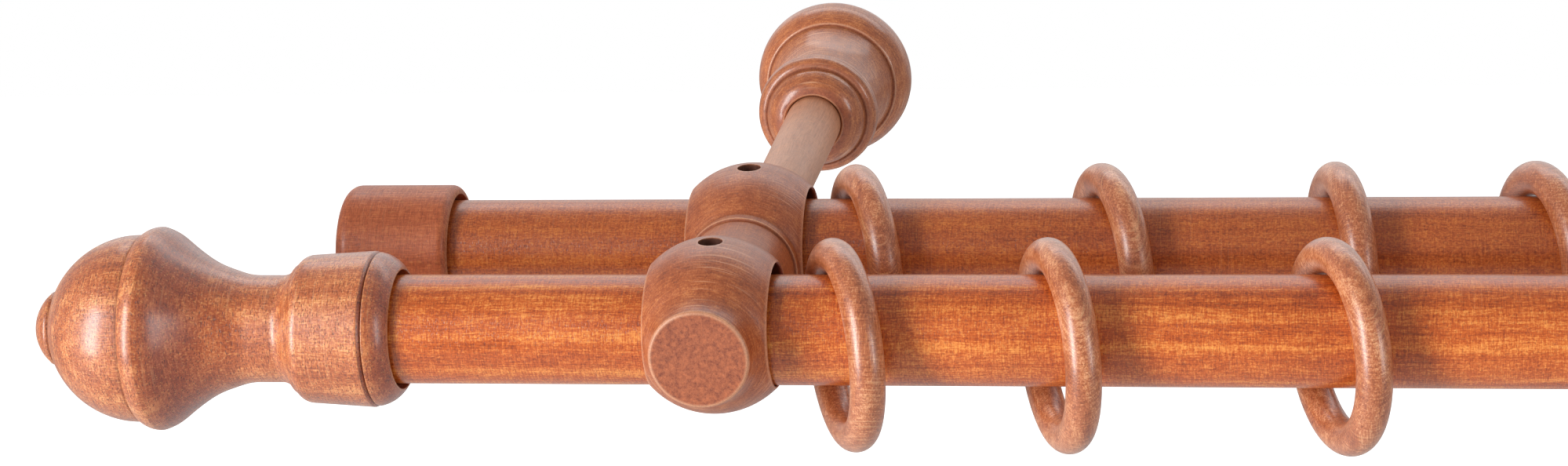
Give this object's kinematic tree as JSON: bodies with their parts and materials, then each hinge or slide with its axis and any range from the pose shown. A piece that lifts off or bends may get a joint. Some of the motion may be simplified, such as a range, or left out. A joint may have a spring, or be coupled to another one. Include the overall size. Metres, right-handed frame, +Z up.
{
  "type": "double curtain rod with brackets",
  "caption": "Double wooden curtain rod: two poles through turned two-bulge brackets with wall rosettes, sliding wooden rings, turned finials and plain end caps.",
  "frame": {"origin": "on the wall plane, midway between the two wall studs, at the height of the bracket arms", "axes": "+X along the poles, +Y into the wall, +Z up"},
  "size_m": [1.3438, 0.3021, 0.0578],
  "materials": {
    "pole_wood": "stained and satin lacquered",
    "bracket_wood": "stained and satin lacquered",
    "ring_wood": "stained and satin lacquered",
    "finial_wood": "stained and satin lacquered",
    "cap_wood": "stained and satin lacquered",
    "fixing_steel": "zinc plated"
  },
  "bodies": {
    "wall_frame": {"front_pole": "pole_wood", "rear_pole": "pole_wood", "left_bracket": "bracket_wood", "right_bracket": "bracket_wood", "left_rosette": "bracket_wood", "right_rosette": "bracket_wood", "lock_screws": "fixing_steel", "wall_studs": "fixing_steel"},
    "front_ring_01": {"front_ring_01": "ring_wood"},
    "front_ring_02": {"front_ring_02": "ring_wood"},
    "front_ring_03": {"front_ring_03": "ring_wood"},
    "front_ring_04": {"front_ring_04": "ring_wood"},
    "front_ring_05": {"front_ring_05": "ring_wood"},
    "front_ring_06": {"front_ring_06": "ring_wood"},
    "front_ring_07": {"front_ring_07": "ring_wood"},
    "front_ring_08": {"front_ring_08": "ring_wood"},
    "front_ring_09": {"front_ring_09": "ring_wood"},
    "front_ring_10": {"front_ring_10": "ring_wood"},
    "rear_ring_01": {"rear_ring_01": "ring_wood"},
    "rear_ring_02": {"rear_ring_02": "ring_wood"},
    "rear_ring_03": {"rear_ring_03": "ring_wood"},
    "rear_ring_04": {"rear_ring_04": "ring_wood"},
    "rear_ring_05": {"rear_ring_05": "ring_wood"},
    "rear_ring_06": {"rear_ring_06": "ring_wood"},
    "rear_ring_07": {"rear_ring_07": "ring_wood"},
    "rear_ring_08": {"rear_ring_08": "ring_wood"},
    "rear_ring_09": {"rear_ring_09": "ring_wood"},
    "rear_ring_10": {"rear_ring_10": "ring_wood"},
    "left_finial": {"left_finial": "finial_wood"},
    "right_finial": {"right_finial": "finial_wood"},
    "left_cap": {"left_cap": "cap_wood"},
    "right_cap": {"right_cap": "cap_wood"}
  },
  "joints": [
    {"name": "front_ring_01_slide", "type": "slide", "parent": "wall_frame", "child": "front_ring_01", "axis": [1, 0, 0], "range_m": [-0.0029, 0.0136]},
    {"name": "front_ring_02_slide", "type": "slide", "parent": "wall_frame", "child": "front_ring_02", "axis": [1, 0, 0], "range_m": [-0.0136, 0.0212]},
    {"name": "front_ring_03_slide", "type": "slide", "parent": "wall_frame", "child": "front_ring_03", "axis": [1, 0, 0], "range_m": [-0.0212, 0.0341]},
    {"name": "front_ring_04_slide", "type": "slide", "parent": "wall_frame", "child": "front_ring_04", "axis": [1, 0, 0], "range_m": [-0.0341, 0.038]},
    {"name": "front_ring_05_slide", "type": "slide", "parent": "wall_frame", "child": "front_ring_05", "axis": [1, 0, 0], "range_m": [-0.038, 0.038]},
    {"name": "front_ring_06_slide", "type": "slide", "parent": "wall_frame", "child": "front_ring_06", "axis": [1, 0, 0], "range_m": [-0.038, 0.0406]},
    {"name": "front_ring_07_slide", "type": "slide", "parent": "wall_frame", "child": "front_ring_07", "axis": [1, 0, 0], "range_m": [-0.0406, 0.0412]},
    {"name": "front_ring_08_slide", "type": "slide", "parent": "wall_frame", "child": "front_ring_08", "axis": [1, 0, 0], "range_m": [-0.0412, 0.0405]},
    {"name": "front_ring_09_slide", "type": "slide", "parent": "wall_frame", "child": "front_ring_09", "axis": [1, 0, 0], "range_m": [-0.0405, 0.0407]},
    {"name": "front_ring_10_slide", "type": "slide", "parent": "wall_frame", "child": "front_ring_10", "axis": [1, 0, 0], "range_m": [-0.0407, 0.1074]},
    {"name": "rear_ring_01_slide", "type": "slide", "parent": "wall_frame", "child": "rear_ring_01", "axis": [1, 0, 0], "range_m": [-0.001, 0.0196]},
    {"name": "rear_ring_02_slide", "type": "slide", "parent": "wall_frame", "child": "rear_ring_02", "axis": [1, 0, 0], "range_m": [-0.0196, 0.0184]},
    {"name": "rear_ring_03_slide", "type": "slide", "parent": "wall_frame", "child": "rear_ring_03", "axis": [1, 0, 0], "range_m": [-0.0184, 0.0146]},
    {"name": "rear_ring_04_slide", "type": "slide", "parent": "wall_frame", "child": "rear_ring_04", "axis": [1, 0, 0], "range_m": [-0.0146, 0.0445]},
    {"name": "rear_ring_05_slide", "type": "slide", "parent": "wall_frame", "child": "rear_ring_05", "axis": [1, 0, 0], "range_m": [-0.0445, 0.044]},
    {"name": "rear_ring_06_slide", "type": "slide", "parent": "wall_frame", "child": "rear_ring_06", "axis": [1, 0, 0], "range_m": [-0.044, 0.0426]},
    {"name": "rear_ring_07_slide", "type": "slide", "parent": "wall_frame", "child": "rear_ring_07", "axis": [1, 0, 0], "range_m": [-0.0426, 0.0433]},
    {"name": "rear_ring_08_slide", "type": "slide", "parent": "wall_frame", "child": "rear_ring_08", "axis": [1, 0, 0], "range_m": [-0.0433, 0.0427]},
    {"name": "rear_ring_09_slide", "type": "slide", "parent": "wall_frame", "child": "rear_ring_09", "axis": [1, 0, 0], "range_m": [-0.0427, 0.041]},
    {"name": "rear_ring_10_slide", "type": "slide", "parent": "wall_frame", "child": "rear_ring_10", "axis": [1, 0, 0], "range_m": [-0.041, 0.1102]},
    {"name": "left_finial_pull", "type": "slide", "parent": "wall_frame", "child": "left_finial", "axis": [-1, 0, 0], "range_m": [0, 0.04]},
    {"name": "right_finial_pull", "type": "slide", "parent": "wall_frame", "child": "right_finial", "axis": [1, 0, 0], "range_m": [0, 0.04]},
    {"name": "left_cap_pull", "type": "slide", "parent": "wall_frame", "child": "left_cap", "axis": [-1, 0, 0], "range_m": [0, 0.04]},
    {"name": "right_cap_pull", "type": "slide", "parent": "wall_frame", "child": "right_cap", "axis": [1, 0, 0], "range_m": [0, 0.04]}
  ]
}
